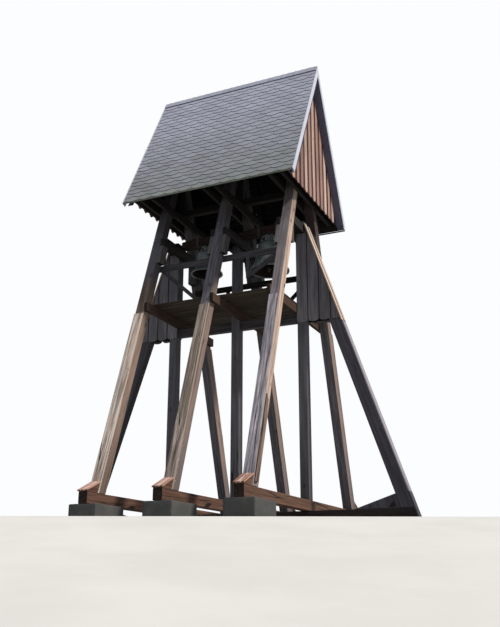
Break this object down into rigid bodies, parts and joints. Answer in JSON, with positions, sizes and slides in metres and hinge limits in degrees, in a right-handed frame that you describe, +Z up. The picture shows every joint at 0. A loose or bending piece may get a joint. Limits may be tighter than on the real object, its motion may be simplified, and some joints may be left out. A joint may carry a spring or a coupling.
{
  "type": "open timber bell tower",
  "caption": "Open timber bell tower: raking legs on stone plinths, braced ends, a bell platform under a steep shingled roof, and bells that swing.",
  "frame": {"origin": "middle of the tower's footprint at ground level", "axes": "+X along the ridge, +Y from the front to the back, +Z up"},
  "size_m": [7.7006, 6.4618, 10.5442],
  "materials": {
    "stone": "rough cut, dark grey, lichen specks",
    "sill_timber": "tarred and worn to reddish brown",
    "cover_board": "weathered silver brown with grain",
    "cap_board": "red brown, sun bleached",
    "shingle": "boards under grey felt shingles with rounded tabs, mineral grit",
    "roof_metal": "grey sheet",
    "verge_metal": "pale sheet on a board",
    "gable_board": "red brown tarred boards",
    "dark_board": "black tarred boards",
    "bell_bronze": "cast, grey green patina",
    "forged_iron": "forged, dark, some rust",
    "bearing_bronze": "greased, dark",
    "plank": "sawn, aged grey brown",
    "tarred_timber": "tarred, hewn, dark brown"
  },
  "bodies": {
    "frame": {"plinths": "stone", "cross_sill_left": "sill_timber", "cross_sill_mid": "sill_timber", "cross_sill_right": "sill_timber", "long_sill": "tarred_timber", "front_leg_left": "tarred_timber", "front_leg_mid": "tarred_timber", "front_leg_right": "tarred_timber", "rear_leg_left": "tarred_timber", "rear_leg_mid": "tarred_timber", "rear_leg_right": "tarred_timber", "leg_covers": "cover_board", "foot_wedges": "sill_timber", "foot_caps": "cap_board", "post_left": "tarred_timber", "post_mid": "tarred_timber", "post_right": "tarred_timber", "end_brace_left": "tarred_timber", "end_brace_right": "tarred_timber", "end_covers": "cover_board", "end_feet": "tarred_timber", "wing_left": "dark_board", "wing_right": "dark_board", "wing_caps": "cover_board", "tie_planks": "plank", "platform_beams": "tarred_timber", "platform_floor": "plank", "rail_front": "plank", "rail_rear": "plank", "bearing_beams": "tarred_timber", "bearing_cleats": "plank", "bearing_blocks": "bearing_bronze", "roof_ties": "tarred_timber", "loft_beam": "tarred_timber", "wall_plates": "tarred_timber", "rafters_front": "tarred_timber", "rafters_rear": "tarred_timber", "ridge_beam": "tarred_timber", "king_posts": "tarred_timber", "roof_front": "shingle", "roof_rear": "shingle", "ridge_cap": "roof_metal", "verge_boards": "verge_metal", "gable_left": "gable_board", "gable_right": "gable_board"},
    "bell_left": {"headstock_left": "tarred_timber", "bell_left": "bell_bronze", "straps_left": "forged_iron", "clapper_left": "forged_iron"},
    "bell_right": {"headstock_right": "tarred_timber", "bell_right": "bell_bronze", "straps_right": "forged_iron", "clapper_right": "forged_iron"}
  },
  "joints": [
    {"name": "swing_left", "type": "hinge", "parent": "frame", "child": "bell_left", "pos_m": [-0.78, 0, 6.5475], "axis": [1, 0, 0], "range_deg": [-60, 60]},
    {"name": "swing_right", "type": "hinge", "parent": "frame", "child": "bell_right", "pos_m": [0.78, 0, 6.5475], "axis": [1, 0, 0], "range_deg": [-60, 60]}
  ]
}
